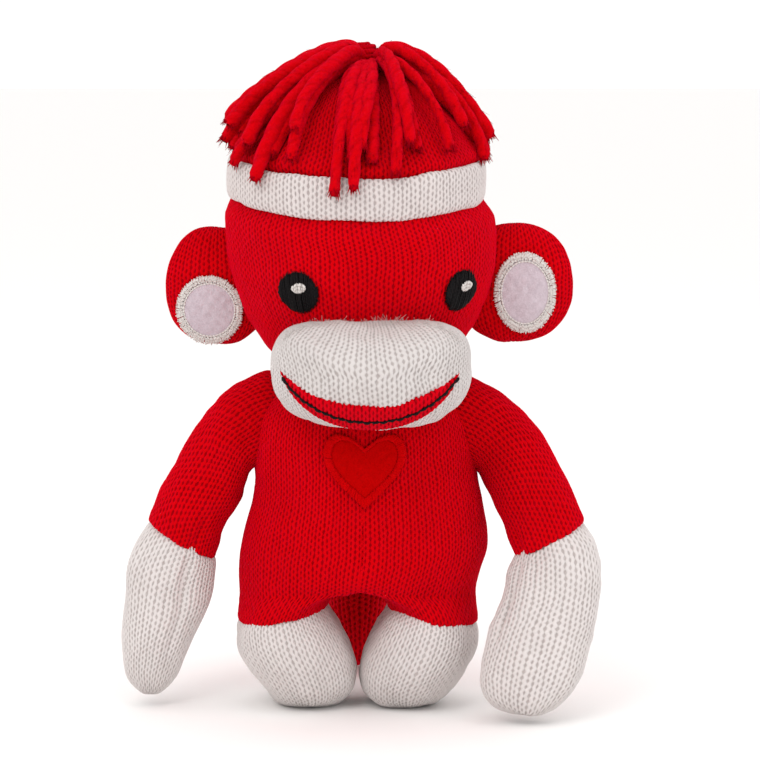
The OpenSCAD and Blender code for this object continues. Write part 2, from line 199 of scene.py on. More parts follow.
def knit_points(base, uv, loop, relief, flip, seed, soft):
    """Raises plain knit, uneven as a stuffed toy's, on a grid of points."""
    cols = base.shape[1]
    n = grid_normals(base, loop) * (-1 if flip else 1)
    height = stitch_height(uv[:, :cols, 0], uv[:, :cols, 1])
    uneven = 1 + 0.25 * wobble(base, 9, seed)
    lumps = soft * wobble(base, 17, seed + 1) + 0.4 * soft * wobble(base, 6, seed + 2)
    return base + n * ((height - 0.7) * relief * uneven + lumps)[..., None]


def uneven_uv(uv, base, seed, free=1.0):
    """Lets wales and courses drift a little, as on a stuffed skin. free is 0 where a wale stays put."""
    cols = base.shape[1]
    du = (0.10 * wobble(base, 11, seed) + 0.05 * wobble(base, 3.5, seed + 5)) * free
    dv = 0.16 * wobble(base, 13, seed + 1) + 0.07 * wobble(base, 3.0, seed + 6)
    drift = np.stack([du, dv], -1)
    if uv.shape[1] > cols:
        drift = np.concatenate([drift, drift[:, :1]], axis=1)
    return uv + drift


# ---- materials
class Nodes:
    """Short way to build a node tree: every method returns a socket."""

    def __init__(self, name):
        self.material = bpy.data.materials.new(name)
        self.material.use_nodes = True
        self.tree = self.material.node_tree
        self.shader = self.tree.nodes["Principled BSDF"]

    def put(self, socket, value):
        if isinstance(value, bpy.types.NodeSocket):
            self.tree.links.new(value, socket)
        else:
            socket.default_value = value

    def math(self, op, a, b=0.0, clamp=False):
        node = self.tree.nodes.new("ShaderNodeMath")
        node.operation = op
        node.use_clamp = clamp
        for socket, value in zip(node.inputs, (a, b)):
            self.put(socket, value)
        return node.outputs[0]

    def add(self, a, b):
        return self.math("ADD", a, b)

    def sub(self, a, b):
        return self.math("SUBTRACT", a, b)

    def mul(self, a, b):
        return self.math("MULTIPLY", a, b)

    def ramp(self, value, low, high):
        node = self.tree.nodes.new("ShaderNodeMapRange")
        node.interpolation_type = "SMOOTHSTEP"
        self.put(node.inputs["Value"], value)
        self.put(node.inputs["From Min"], low)
        self.put(node.inputs["From Max"], high)
        return node.outputs["Result"]

    def mix(self, factor, a, b):
        node = self.tree.nodes.new("ShaderNodeMix")
        node.data_type = "RGBA"
        self.put(node.inputs[0], factor)
        self.put(node.inputs[6], a)
        self.put(node.inputs[7], b)
        return node.outputs[2]

    def place(self):
        return self.tree.nodes.new("ShaderNodeTexCoord").outputs["Object"]

    def noise(self, scale, detail=2.0, vector=None, stretch=None, rough=0.5):
        vector = vector or self.place()
        if stretch:
            mapping = self.tree.nodes.new("ShaderNodeMapping")
            mapping.inputs["Scale"].default_value = stretch
            self.put(mapping.inputs["Vector"], vector)
            vector = mapping.outputs[0]
        node = self.tree.nodes.new("ShaderNodeTexNoise")
        node.inputs["Scale"].default_value = scale
        node.inputs["Detail"].default_value = detail
        node.inputs["Roughness"].default_value = rough
        self.put(node.inputs["Vector"], vector)
        return node.outputs["Fac"]

    def uv(self):
        """The stitch coordinates as a vector, and its u and v."""
        node = self.tree.nodes.new("ShaderNodeUVMap")
        node.uv_map = "stitch"
        split = self.tree.nodes.new("ShaderNodeSeparateXYZ")
        self.put(split.inputs[0], node.outputs[0])
        return node.outputs[0], split.outputs[0], split.outputs[1]

    def bump(self, height, distance):
        node = self.tree.nodes.new("ShaderNodeBump")
        node.inputs["Strength"].default_value = 1.0
        node.inputs["Distance"].default_value = distance
        self.put(node.inputs["Height"], height)
        return node.outputs[0]

    def finish(self, color, rough, normal, sheen, tint, specular=0.03):
        s = self.shader
        self.put(s.inputs["Base Color"], color)
        self.put(s.inputs["Roughness"], rough)
        self.put(s.inputs["Normal"], normal)
        s.inputs["Sheen Weight"].default_value = sheen
        s.inputs["Sheen Roughness"].default_value = 0.5
        s.inputs["Sheen Tint"].default_value = (*tint, 1)
        s.inputs["Specular IOR Level"].default_value = specular
        return self.material


def rgb(r, g, b):
    """A colour given as display values from 0 to 255, as a linear RGBA tuple."""
    def linear(c):
        c /= 255
        return c / 12.92 if c <= 0.04045 else ((c + 0.055) / 1.055) ** 2.4
    return (linear(r), linear(g), linear(b), 1)


def stitch_nodes(n, u, v):
    """The same stitch as stitch_height, as nodes: its height and how far across a leg a point lies."""
    leg = n.mul(u, 2.0)
    whole = n.math("FLOOR", leg)
    part = n.sub(leg, whole)
    odd = n.math("FLOORED_MODULO", whole, 2.0)
    sign = n.sub(1.0, n.mul(odd, 2.0))
    swing = n.add(n.mul(n.math("COSINE", n.mul(v, TAU)), WAVE), OPEN)
    across = n.math("DIVIDE", n.sub(part, n.add(0.5, n.mul(sign, swing))), LEG)
    flat = n.math("SUBTRACT", 1.0, n.mul(across, across), clamp=True)
    return n.math("SQRT", flat), across


def knit_material(name, yarn, deep, pale, sheen, tint):
    """Plain knit: fuzzy plied yarn, with painted shade (the deep colour) in the holes between the stitches,
    mixed with random fibre tone. The colours are display RGB.
    """
    n = Nodes(name)
    _, u, v = n.uv()
    height, across = stitch_nodes(n, u, v)
    ply = n.math("SINE", n.add(n.mul(v, TAU * 3), n.mul(across, 2.2)))
    fibre = n.noise(2600, 3, rough=0.65)
    blotch = n.noise(420, 2)
    broad = n.noise(60, 2)
    relief = n.add(height, n.add(n.mul(ply, 0.06), n.mul(fibre, 0.35)))
    normal = n.bump(relief, 0.2 * MM)
    # painted shade: the colour falls to deep where the stitch height drops into a hole
    shade = n.ramp(n.add(height, n.mul(n.sub(fibre, 0.5), 0.35)), 0.0, 0.85)
    color = n.mix(shade, rgb(*deep), rgb(*yarn))
    color = n.mix(n.mul(n.ramp(fibre, 0.5, 0.8), 0.35), color, rgb(*pale))
    color = n.mix(n.ramp(blotch, 0.35, 0.75), color, n.mix(0.16, color, rgb(*pale)))
    color = n.mix(n.mul(n.ramp(broad, 0.3, 0.7), 0.14), color, rgb(*deep))
    return n.finish(color, 0.92, normal, sheen, tint)


def thread_material(name, tone, dark, pale, sheen, tint, specular=0.06):
    """Sewing thread: u goes round it and v runs along it. Each whole v is a soft ridge; the dark colour is
    painted shade between the ridges, mixed with random strand tone.
    """
    n = Nodes(name)
    coords, _, v = n.uv()
    ridge = n.math("ABSOLUTE", n.math("SINE", n.mul(v, math.pi)))
    strands = n.noise(30, 3, vector=coords, stretch=(0.5, 6.0, 1.0))
    fibre = n.noise(3000, 2)
    relief = n.add(ridge, n.add(n.mul(strands, 0.3), n.mul(fibre, 0.25)))
    # painted shade: the colour darkens where the ridge falls away between windings; the strand term is
    # random tone
    color = n.mix(n.ramp(n.add(ridge, n.mul(strands, 0.4)), 0.1, 1.0), rgb(*dark), rgb(*tone))
    color = n.mix(n.mul(n.ramp(strands, 0.5, 0.75), 0.4), color, rgb(*pale))
    return n.finish(color, 0.6, n.bump(relief, 0.12 * MM), sheen, tint, specular)


def felt_material(name, tone, dark, pale, grain, sheen, tint):
    """Felt and fleece: matted fibres with no weave."""
    n = Nodes(name)
    fine = n.noise(grain, 4, rough=0.7)
    hair = n.noise(grain * 0.35, 3, stretch=(1.0, 3.0, 0.6), rough=0.6)
    broad = n.noise(120, 2)
    color = n.mix(n.ramp(n.add(n.mul(fine, 0.6), n.mul(hair, 0.4)), 0.3, 0.7), rgb(*dark), rgb(*tone))
    color = n.mix(n.mul(n.ramp(broad, 0.4, 0.7), 0.25), color, rgb(*pale))
    relief = n.add(fine, n.mul(hair, 0.8))
    return n.finish(color, 0.95, n.bump(relief, 0.22 * MM), sheen, tint)


def yarn_material(name, tone, dark, pale, sheen, tint):
    """Plied wool: u goes round it and v counts its plies. The streaks cross the plies at a slant. The dark
    colour is painted shade in the grooves between the plies, mixed with random fibre tone.
    """
    n = Nodes(name)
    _, u, v = n.uv()
    phase = n.add(n.mul(u, 2.0), v)
    twist = n.math("ABSOLUTE", n.math("SINE", n.mul(phase, math.pi)))
    streak = n.math("SINE", n.add(n.mul(phase, TAU * 3), n.mul(n.noise(900, 2), 9.0)))
    fibre = n.add(n.mul(n.noise(1500, 4, rough=0.8), 1.0), n.mul(streak, 0.16))
    lint = n.noise(500, 2)
    # painted shade: the twist term darkens the grooves between the plies; the fibre term is random tone
    shade = n.ramp(n.add(n.mul(twist, 0.42), n.mul(fibre, 0.7)), 0.1, 0.85)
    color = n.mix(shade, rgb(*dark), rgb(*tone))
    color = n.mix(n.mul(n.ramp(lint, 0.45, 0.7), 0.3), color, rgb(*pale))
    relief = n.add(n.mul(twist, 0.3), n.mul(fibre, 0.8))
    return n.finish(color, 0.95, n.bump(relief, 0.55 * MM), sheen, tint)


KNIT_TINT = (1.0, 0.95, 0.95)
# The second colour of each knit is the painted shade in the holes between its stitches.
RED = knit_material("red_knit", (202, 0, 5), (144, 0, 2), (210, 3, 30), 0.18, (1.0, 0.0, 0.2))
WHITE = knit_material("white_knit", (216, 209, 207), (178, 168, 165), (226, 221, 219), 0.08, KNIT_TINT)
MUZZLE_KNIT = knit_material("muzzle_knit_material", (207, 201, 199), (172, 163, 160), (218, 213, 211), 0.08,
                            KNIT_TINT)
CUFF = knit_material("cuff_knit", (212, 203, 201), (172, 160, 158), (224, 218, 216),
                     0.08, (1.0, 0.93, 0.93))
LIP = knit_material("lip_knit", (204, 0, 16), (140, 0, 6), (214, 8, 36), 0.12, (1.0, 0.05, 0.15))
FELT = felt_material("heart_felt_material", (190, 0, 1), (168, 0, 0), (194, 2, 6), 2600,
                     0.08, (1.0, 0.02, 0.05))
BORDER = felt_material("heart_border_material", (208, 0, 4), (180, 0, 2), (214, 4, 12), 3200,
                       0.1, (1.0, 0.02, 0.06))
FLEECE = felt_material("fleece_material", (204, 190, 198), (180, 164, 172), (212, 202, 208), 2200,
                       0.15, (1.0, 0.94, 0.97))
# The second colour of each thread is the painted shade between its ridges.
BLACK = thread_material("black_thread", (9, 5, 7), (2, 1, 1), (20, 15, 18), 0.0, (0.6, 0.6, 0.7), 0.15)
SATIN = thread_material("white_thread", (216, 210, 206), (180, 170, 166), (226, 222, 218),
                        0.08, (1.0, 0.95, 0.94))
RED_THREAD = thread_material("red_thread", (204, 0, 8), (140, 0, 4), (214, 6, 24), 0.1, (1.0, 0.03, 0.12))
# The second colour of the yarn is the painted shade between its plies.
YARN = yarn_material("red_yarn", (209, 0, 8), (184, 0, 4), (218, 5, 24), 0.24, (1.0, 0.0, 0.12))


# ---- threads and yarn
class Threads:
    """Collects swept tubes into one object. Paths and radii are in millimetres."""

    def __init__(self):
        self.verts, self.faces, self.uvs, self.count = [], [], [], 0

    def tube(self, path, radius, sides=6, lobes=0, turns=0.0, depth=0.25, unit=1.0):
        """Adds a tube. lobes is the number of plies twisted into it, with grooves of a depth between them.
        u goes round the tube. v runs along it, by the length over unit or by the number of plies."""
        path = np.asarray(path, float)
        n = len(path)
        radius = np.broadcast_to(radius, (n,))
        tangent = normalised(np.gradient(path, axis=0))
        side = np.cross(tangent[0], [0.31, 0.47, 0.83])
        sides_at = []
        for t in tangent:
            side = normalised(side - t * np.dot(side, t))
            sides_at.append(side)
        sides_at = np.array(sides_at)
        up = np.cross(tangent, sides_at)
        length = distance_along(path)
        a = np.arange(sides) * TAU / sides
        twist = TAU * turns * length / max(length[-1], 1e-9)
        r = np.repeat(radius[:, None], sides, 1)
        if lobes:
            r = r * (1 - depth + depth * np.abs(np.cos(lobes / 2 * (a[None, :] - twist[:, None]))))
        ring = (path[:, None] + r[..., None] * (np.cos(a)[None, :, None] * sides_at[:, None]
                                                + np.sin(a)[None, :, None] * up[:, None]))
        uv = np.stack(np.meshgrid(np.linspace(0, 1, sides + 1), length / unit), -1)
        if lobes:
            uv[..., 1] = (-twist / TAU * lobes)[:, None]
            uv[..., 0] = np.linspace(0, lobes / 3, sides + 1)[None, :]
        faces, uvs = grid_faces(n, sides, True, uv)
        self.verts.append(ring.reshape(-1, 3))
        self.faces.append(faces[:, ::-1] + self.count)
        self.uvs.append(uvs.reshape(-1, 4, 2)[:, ::-1].reshape(-1, 2))
        self.count += n * sides
        return self

    def build(self, name, material):
        return mesh_object(name, np.concatenate(self.verts), np.concatenate(self.faces),
                           np.concatenate(self.uvs), material)


def rounded(n, radius, tip=0.25):
    """Radius along a thread of n points that tapers at both ends."""
    t = np.linspace(-1, 1, n)
    return radius * np.maximum(np.sqrt(np.clip(1 - t ** 8, 0, 1)), tip)


def lifted(surface, x, z, height):
    """Points on a surface at (x, z), moved out along its normal by height."""
    e = 0.05
    p = surface(x, z)
    dx = surface(x + e, z) - surface(x - e, z)
    dz = surface(x, z + e) - surface(x, z - e)
    return p + normalised(np.cross(dx, dz)) * np.asarray(height)[..., None]


def satin(name, surface, start, end, count, lift, base, radius, material, ragged, seed):
    """Satin stitch: count threads from the curve start(s) to the curve end(s) on a surface."""
    local = np.random.default_rng(seed)
    threads = Threads()
    points = 12
    t = np.linspace(0, 1, points)
    arch = np.sqrt(np.clip(1 - (2 * t - 1) ** 4, 0, 1))
    for i in range(count):
        s = (i + 0.5) / count
        a = np.array(start(s)) + local.normal(size=2) * ragged
        b = np.array(end(s)) + local.normal(size=2) * ragged
        sway = local.normal() * 0.12 * np.sin(math.pi * t)
        x = a[0] + (b[0] - a[0]) * t + sway
        z = a[1] + (b[1] - a[1]) * t
        height = base + lift * arch * local.uniform(0.85, 1.1)
        threads.tube(lifted(surface, x, z, height), rounded(points, radius * local.uniform(0.85, 1.15)), 6)
    return threads.build(name, material)


# ---- head
head_low, head_high = box_mm("head_knit")
cap_high = box_mm("hat_cap")[1]
cuff_low, cuff_high = box_mm("hat_cuff")
HEAD_R = head_high[0]
HEAD_H = 1.1965 * HEAD_R
HEAD_Z = cap_high[2] - HEAD_H
CUFF_R = cuff_high[0]


def head_radius(z):
    """Radius of the head at a height. It is drawn in a little under the cuff."""
    r = HEAD_R * np.sqrt(np.clip(1 - ((z - HEAD_Z) / HEAD_H) ** 2, 0, 1))
    begun = smooth(cuff_low[2] - 6, cuff_low[2] + 1.5, z)
    ended = smooth(cuff_high[2] - 3, cuff_high[2] + 2, z)
    return r - 2.9 * (begun * (1 - ended))


def hat_tilt(x, y, z):
    """The hat sits low over the brow and higher at the sides: how far a point of it moves up."""
    w = smooth(cuff_low[2] - 18, cuff_low[2] - 1, z) * (1 - smooth(cuff_high[2] + 4, cap_high[2], z))
    return w * (0.1 * y + 0.1 + 2.0 * (x / HEAD_R) ** 2 - 0.008 * x)


def hat_shift(z):
    """The hat also sits a little to one side."""
    return -1.5 * smooth(cuff_low[2] - 16, cuff_low[2] - 1, z)


def place_skin(name, base, uv, loop, relief, material, seed, soft=0.35, outward=None, floor=None):
    """A knit skin on a grid of points. outward is what it faces away from, by default each row's middle."""
    n = grid_normals(base, loop)
    centre = base.mean(axis=1, keepdims=True) if outward is None else outward
    flip = np.sum(n * (base - centre)) < 0
    points = knit_points(base, uv, loop, relief, flip, seed, soft)
    if floor is not None:
        points[..., 2] = np.maximum(points[..., 2], floor)
    return grid_object(name, points, uv, loop, material, flip)


def lathe_skin(name, z_rows, radius_rows, wales, relief, material, seed):
    """A round knit skin from rows of height and radius."""
    cols = wales * PER_WALE
    a = np.arange(cols) * TAU / cols + math.pi
    courses = distance_along(np.column_stack([z_rows, radius_rows])) / COURSE
    base = round_points(radius_rows[:, None], z_rows[:, None], a)
    base[..., 0] += hat_shift(base[..., 2])
    base[..., 2] += hat_tilt(base[..., 0], base[..., 1], base[..., 2])
    uv = loop_uv(len(z_rows), cols, wales, courses[-1])
    uv[..., 1] = courses[:, None]
    uv = uneven_uv(uv, base, seed)
    return place_skin(name, base, uv, True, relief, material, seed)


def even_rows(z, r, rows):
    """An outline of heights and radii with its points evenly spaced."""
    length = distance_along(np.column_stack([z, r]))
    even = np.linspace(0, length[-1], rows)
    return np.interp(even, length, z), np.interp(even, length, r)


z = np.linspace(head_low[2] - 0.4, cuff_low[2] + 6, 200)
r = head_radius(z)
z = np.concatenate([[head_low[2] - 2.4, head_low[2] - 1.2], z])
r = np.concatenate([[r[0] - 9, r[0] - 4], r])
z, r = even_rows(z, r, 150)
head = lathe_skin("head_skin", z[::-1], r[::-1], 93, 0.36, RED, 11)
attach(head, "head")
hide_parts("head_knit", "head_wadding")

z = np.linspace(cuff_high[2] - 3, cap_high[2] - 0.3, 200)
r = np.maximum(head_radius(z) - 0.2, 0.8) + 1.9 * (1 - smooth(cuff_high[2] - 1, cuff_high[2] + 8, z))
z, r = even_rows(z, r, 96)
cap = lathe_skin("cap_skin", z[::-1], r[::-1], 90, 0.4, RED, 21)
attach(cap, "head")
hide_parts("hat_cap")

# The cuff is a folded band: down the outside, round both edges, a little way up the inside.
thick = 2.5
half = (cuff_high[2] - cuff_low[2]) / 2 - 0.5
middle_z = (cuff_high[2] + cuff_low[2]) / 2 - 0.6
edge = np.radians(np.linspace(170, 0, 12))
out_r = CUFF_R - thick / 2 + thick / 2 * np.cos(edge)
top_z = half - thick / 2 + thick / 2 * np.sin(edge)
face = np.linspace(half - thick / 2, -half + thick / 2, 30)[1:-1]
inside = out_r[0] + 0.05
r = np.concatenate([[inside], out_r, CUFF_R + 0.45 * np.cos(face / half * 1.4), out_r[::-1], [inside]])
z = np.concatenate([[half - 5], top_z, face, -top_z[::-1], [-half + 5]])
z, r = even_rows(z, r, 84)
CUFF_WALES = 88
cols = CUFF_WALES * PER_WALE
a = np.arange(cols) * TAU / cols + math.pi
base = round_points(r[:, None], z[:, None], a)
base[..., 2] += middle_z + 0.3 * wobble(base * [1, 1, 0], 24, 5)
base[..., 2] += hat_tilt(base[..., 0], base[..., 1], middle_z)
base[..., 0] = base[..., 0] * 0.985 - 1.9
uv = loop_uv(len(z), cols, CUFF_WALES, 1)
uv[..., 1] = (distance_along(np.column_stack([z, r])) / COURSE)[:, None]
uv = uneven_uv(uv, base, 31)
ring = round_points(CUFF_R - 1.2, middle_z, a)[None]
cuff = place_skin("hat_cuff_skin", base, uv, True, 0.4, CUFF, 31, 0.25, outward=ring)
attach(cuff, "head")
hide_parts("hat_cuff")


# ---- pompom
LAYER_ENDS = (60, 64, 56)     # how far over the head each layer reaches, in degrees from the top
PER_LAYER = 14
# azimuth, layer and length in degrees of the long strands that hang over the cuff
LONG_STRANDS = ((261.5, 1.2, 73.5), (268.5, 1.5, 71.5), (229.5, 1.0, 71))
PARTING_X = 2.0


def pompom_strands(local):
    """Azimuth, layer and length of each strand."""
    strands = []
    for layer, end in enumerate(LAYER_ENDS):
        for i in range(PER_LAYER):
            azimuth = math.radians((i + layer / 3) * 360 / PER_LAYER + local.normal() * 3.5)
            strands.append((azimuth, layer, end + 3.5 * math.sin(math.radians(i * 137 + layer * 50))))
    return strands + [(math.radians(azimuth), layer, end) for azimuth, layer, end in LONG_STRANDS]


def strand_path(local, azimuth, layer, end, t):
    """Points of a strand from the tie, t = 0, to its end, t = 1. The front ones cling to the cap."""
    front = max(0.0, -math.sin(azimuth)) ** 3
    lift = 1.9 + 2.7 * layer
    polar = np.radians(3.5 + layer + (end - 4.5) * t)
    drift = azimuth + local.normal() * 0.06 * t
    drift = drift + local.normal() * 0.04 * np.sin(4 * t + local.uniform(0, 6))
    height = lift + 0.5 * np.sin(5 * t + local.uniform(0, 6)) * t
    height = height - 0.55 * layer * np.sin(math.pi * t) - 0.4 * layer * t ** 3 * (1 - front)
    height = height - 1.4 * layer * smooth(0.75, 1.0, t) * front
    r = (HEAD_R + height) * np.sin(polar)
    path = np.stack([PARTING_X * (1 - t) - 2.6 * t + r * np.cos(drift), r * np.sin(drift),
                     HEAD_Z + (HEAD_H + height) * np.cos(polar)], -1)
    path[:, 2] += hat_tilt(path[:, 0], path[:, 1], path[:, 2]) * 0.6
    path[:, 2] -= (2.0 + 1.8 * layer) * np.exp(-((path[:, 0] - PARTING_X) / 3.2) ** 2) * (1 - t) ** 1.5
    return path


def frayed_end(local, yarn, path, s):
    """Fibres that fan out of the cut end of a strand."""
    out = normalised(path[-1] - path[-4])
    for _ in range(24):
        spread = local.normal(size=3)
        spread = normalised(spread - out * np.dot(spread, out))
        root = path[-3] + spread * local.uniform(0.2, 1.5)
        fibre = root + out * local.uniform(0.8, 3.0) * s + spread * 0.75 * s ** 2 + [0, 0, -0.35] * s ** 2
        yarn.tube(fibre, np.linspace(0.3, 0.05, 6), 5, unit=0.5)


def strand_hairs(local, hairs, path, s):
    """Loose hairs along a strand."""
    for _ in range(110):
        k = local.integers(4, 60)
        spread = normalised(local.normal(size=3))
        along = path[min(k + 3, 63)] - path[k]
        hair = path[k] + spread * (1.5 + local.uniform(0.4, 1.5) * s) + along * local.uniform(0.3, 1.6) * s
        hairs.tube(hair, np.linspace(0.08, 0.03, 6), 3, unit=0.5)


def pompom():
    """The yarn of the pompom and its loose hairs, as two pieces."""
    local = np.random.default_rng(5)
    yarn, hairs = Threads(), Threads()
    s = np.linspace(0, 1, 6)[:, None]
    t = np.linspace(0, 1, 64)
    for azimuth, layer, end in pompom_strands(local):
        path = strand_path(local, azimuth, layer, end, t)
        thick = (1.95 + 0.2 * local.normal()) * (1 + 0.09 * np.sin(9 * t + local.uniform(0, 6)))
        thick = thick * (1 - 0.5 * smooth(0.965, 1.0, t)) * (0.75 + 0.25 * smooth(0, 0.12, t))
        yarn.tube(path, thick, 20, lobes=2, turns=local.uniform(3.0, 4.2), depth=0.15)
        frayed_end(local, yarn, path, s)
        strand_hairs(local, hairs, path, s)
    return yarn.build("pompom_yarn", YARN), hairs.build("pompom_fuzz", YARN)


yarn, yarn_fuzz = pompom()
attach(yarn_fuzz, "head")
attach(yarn, "head")
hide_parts("pompom_strands")

tie_low, tie_high = box_mm("pompom_tie")
tie_mid, tie_half = (tie_low + tie_high) / 2, (tie_high - tie_low) / 2
t = np.linspace(0, 1, 260)
polar = math.pi * (0.1 + 0.8 * t)
wrap = np.stack([tie_half[0] * 0.8 * np.cos(TAU * 6 * t) * np.sin(polar),
                 tie_half[1] * 0.8 * np.sin(TAU * 6 * t) * np.sin(polar),
                 -tie_half[2] * 0.75 * np.cos(polar) - 1.2], -1) + tie_mid
tie = Threads().tube(wrap, 0.9, 10, lobes=3, turns=60).build("pompom_binding", YARN)
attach(tie, "head")
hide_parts("pompom_tie")


# ---- torso and legs
torso_top = box_mm("torso_knit")[1][2]
TORSO = np.array([
    # below the top, half width, half depth, middle of the leg, inner side of the leg
    [-1.0, 11.0, 7.5, 0, 0], [1.2, 17, 12, 0, 0], [3.8, 24.5, 17.2, 0, 0], [8.1, 29.3, 20.6, 0, 0],
    [13.6, 31.6, 22.3, 0, 0], [21.6, 32.7, 23.0, 0, 0], [30.6, 33.0, 23.2, 0, 0],
    [36.6, 33.9, 23.8, 0, 0], [42.6, 35.3, 24.8, 0, 0], [50.6, 36.4, 25.4, 0, 0],
    [55.6, 36.7, 25.3, 0, 0], [58.6, 36.8, 25.0, 0, 0], [60.6, 36.8, 24.6, 0, 0],
    [62.2, 36.8, 24.0, 0, 0], [63.2, 36.8, 23.6, 0.3, 0], [63.7, 36.8, 23.3, 2.6, 1.6],
    [64.1, 36.8, 23.0, 6.2, 4.4], [64.8, 36.9, 22.7, 9.6, 6.3], [66.2, 36.9, 22.3, 14.5, 7.8],
    [68.2, 37.1, 21.8, 19.5, 8.6],
    [69.8, 37.3, 21.6, 22.0, 8.9], [70.7, 36.9, 21.2, 23.0, 9.4], [70.4, 35.4, 19.6, 23.2, 10.8]])
HEM_LEAN = 2.0 / 13
WAIST_SHIFT = 1.2


def stand(x, z):
    """The lower body leans a little to its right."""
    w = smooth(torso_top - 48, torso_top - 65, z)
    return x * (1 - 0.05 * w) - 1.6 * w


def hem_lean(x, z, weight):
    """The hem is lower at the sides: the height z once it leans by weight."""
    return z - HEM_LEAN * (np.abs(x) - 24) * weight


def belly(y, z):
    """How far the front of the body bulges forwards."""
    return 1.2 * np.exp(-((z - 52) / 20) ** 2) * np.clip(-y / 25, 0, 1) ** 2


def torso_half(side, rows=170, wales=42, hidden=7):
    """Half of the body with one leg's top: the wales on the outside run straight down into the leg."""
    table = np.column_stack([TORSO[:, 0], TORSO[:, 1], 0 * TORSO[:, 0], TORSO[:, 2:]])
    even, length = spline_rows(table, rows)
    visible = wales * PER_WALE
    behind = hidden * PER_WALE + 2
    base = np.zeros((rows, visible + behind, 3))
    quarter = np.linspace(0, math.pi / 2, 160)
    b = np.linspace(-math.pi / 2, math.pi / 2, 321)
    for k, (below, out, _, deep, mid, inner) in enumerate(even):
        inner = max(inner, 0)
        mid = max(mid, inner)
        front = np.stack([mid - (mid - inner) * np.cos(quarter), -deep * np.sin(quarter)], -1)
        side_arc = np.abs(np.cos(b)) ** (2 / SQUARE), np.sign(np.sin(b)) * np.abs(np.sin(b)) ** (2 / SQUARE)
        outer = np.stack([mid + (out - mid) * side_arc[0], deep * side_arc[1]], -1)
        plain = np.stack([out * side_arc[0], deep * side_arc[1]], -1)
        reach = distance_along(plain)[-1] / 2
        line = np.concatenate([front[:-1], outer, front[::-1][1:] * [1, -1]])
        step = distance_along(line)
        half_way = step[-1] / 2
        reach = min(reach, half_way)
        seen = np.linspace(half_way - reach, half_way + reach, visible)
        rest = np.mod(np.linspace(half_way + reach, step[-1] + half_way - reach, behind), step[-1])
        at = np.concatenate([seen, rest])
        base[k, :, 0] = np.interp(at, step, line[:, 0])
        base[k, :, 1] = np.interp(at, step, line[:, 1])
        base[k, :, 2] = torso_top - below
    base[..., 1] -= belly(base[..., 1], base[..., 2])
    base[..., 0] -= 0.35 * np.exp(-(base[..., 0] / 2.5) ** 2)
    base[..., 0] *= side
    low = smooth(torso_top - 56, torso_top - 68, base[..., 2])
    base[..., 2] = hem_lean(base[..., 0], base[..., 2], low)
    base[..., 0] += WAIST_SHIFT * np.exp(-((base[..., 2] - 62) / 13) ** 2) * np.abs(base[..., 0]) / 34
    base[..., 0] = stand(base[..., 0], base[..., 2])
    uv = np.zeros((rows, visible + behind + 1, 2))
    uv[:, :visible, 0] = np.linspace(0, wales, visible)
    uv[:, visible:, 0] = wales + np.linspace(0, hidden, behind + 1)
    uv[..., 1] = np.linspace(0, length / COURSE, rows)[:, None]
    u = uv[0, :-1, 0]
    uv[:, :-1] = uneven_uv(uv, base, 41, smooth(0, 3, u) * (1 - smooth(wales - 3, wales, u)))[:, :-1]
    return base, uv


def torso_surface(x, z):
    """The front of the body above the hem, as a surface for the heart."""
    x, z = grid_coordinates(x, z)
    below = torso_top - z
    out = np.interp(below, TORSO[:-2, 0], TORSO[:-2, 1])
    deep = np.interp(below, TORSO[:-2, 0], TORSO[:-2, 2])
    y = -deep * np.clip(1 - np.abs(x / out) ** SQUARE, 0, 1) ** (1 / SQUARE)
    return np.stack([x, y - belly(y, z), z], -1)


for side, body in SIDES:
    base, uv = torso_half(side)
    core = base.mean(axis=1, keepdims=True)
    skin = place_skin(f"body_skin_{body}", base, uv, True, 0.36, RED, 43, 0.3, outward=core)
    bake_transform(skin)
    nodes = [f"leg_{body}_knit", f"leg_{body}_wadding"]
    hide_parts(*(nodes + (["torso_knit", "torso_wadding"] if side < 0 else [])))

FOOT = np.array([
    # height, inner side, outer side, front, back
    [31.0, 12.6, 34.0, 17.8, 16.2], [29.0, 11.2, 35.2, 19.4, 17.4], [27.0, 9.5, 36.7, 21.0, 18.5],
    [24.0, 7.7, 37.6, 22.5, 19.0], [19.0, 4.2, 37.5, 24.0, 19.0], [14.0, 1.3, 35.8, 24.4, 18.4],
    [9.5, 0.5, 32.9, 23.2, 17.0], [5.5, 1.0, 29.8, 20.8, 14.6], [2.6, 2.8, 27.2, 17.6, 12.0],
    [0.7, 5.6, 24.8, 13.6, 8.8], [0.0, 8.6, 22.0, 10.0, 5.6], [-0.1, 11.6, 18.6, 5.6, 2.4],
    [-0.1, 14.2, 15.8, 2.6, 0.4]])


def foot(side, rows=120, wales=44):
    """The white end of a leg, from its hidden top down to its flat sole."""
    height, inner, outer, front, back = FOOT.T
    middle_x, middle_y = (inner + outer) / 2, (back - front) / 2
    half_x, half_y = (outer - inner) / 2, (front + back) / 2
    spaced = np.column_stack([height, half_x, 0 * height, height, middle_x, middle_y, half_x, half_y])
    even, length = spline_rows(spaced, rows)
    height, middle_x, middle_y, half_x, half_y = (even[:, k:k + 1] for k in range(3, 8))
    cols = wales * PER_WALE
    a = np.arange(cols) * TAU / cols + math.pi / 2
    c, s = np.cos(a), np.sin(a)
    square = 2 / 2.2
    base = np.stack([middle_x + half_x * np.sign(c) * np.abs(c) ** square,
                     middle_y + half_y * np.sign(s) * np.abs(s) ** square,
                     np.repeat(height, cols, 1)], -1)
    base[..., 2] = hem_lean(base[..., 0], base[..., 2], smooth(13, 25, base[..., 2]))
    base[..., 0] = stand(base[..., 0] * side, base[..., 2])
    uv = loop_uv(rows, cols, wales, length / COURSE)
    uv = uneven_uv(uv, base, 51 + side)
    return base, uv


